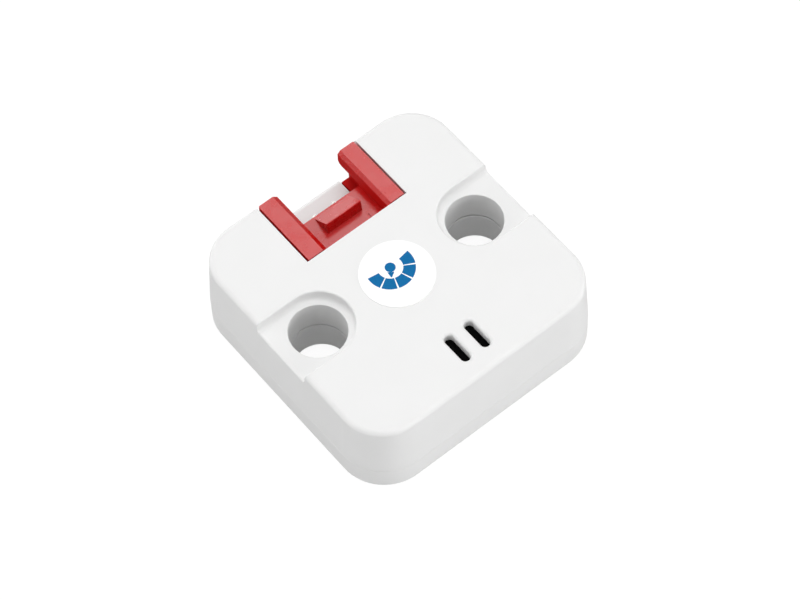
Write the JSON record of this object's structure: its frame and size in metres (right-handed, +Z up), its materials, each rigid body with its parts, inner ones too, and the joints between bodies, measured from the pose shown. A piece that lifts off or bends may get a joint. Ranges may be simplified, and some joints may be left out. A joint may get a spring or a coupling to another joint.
{
  "type": "barometric pressure sensor",
  "caption": "Small square two-shell sensor case with through holes for building-brick pins, a latching edge socket and a pair of vent slots over a barometric pressure sensor.",
  "frame": {"origin": "centre of the case's footprint, on the plane it rests on", "axes": "+Z up out of the labelled face; X through the two pin holes; the socket opens towards -Y and the vent slots are near +Y"},
  "size_m": [0.024, 0.024, 0.0081],
  "materials": {
    "case_plastic": "fine matt moulded plastic, white",
    "socket_plastic": "satin moulded plastic, red",
    "board": "solder-masked glass-fibre board, green",
    "contact_metal": "tin-plated contact metal",
    "tin": "tinned metal",
    "foam": "open-cell foam, black",
    "black_plastic": "moulded epoxy, black",
    "ceramic": "fired ceramic, tan",
    "resistor": "coated ceramic, near black",
    "screw_steel": "dark plated steel",
    "label": null
  },
  "bodies": {
    "root": {"top_shell": "case_plastic", "bottom_cover": "case_plastic", "circuit_board": "board", "socket_housing": "socket_plastic", "socket_contact_1": "contact_metal", "socket_contact_2": "contact_metal", "socket_contact_3": "contact_metal", "socket_contact_4": "contact_metal", "socket_anchor_left": "contact_metal", "socket_anchor_right": "contact_metal", "sensor_substrate": "board", "sensor_lid": "tin", "vent_foam": "foam", "regulator_body": "black_plastic", "regulator_leads": "tin", "input_capacitor": "ceramic", "output_capacitor": "ceramic", "bypass_capacitor": "ceramic", "pull_up_resistor_1": "resistor", "pull_up_resistor_2": "resistor", "case_screw": "screw_steel", "front_label": "label"}
  },
  "joints": []
}
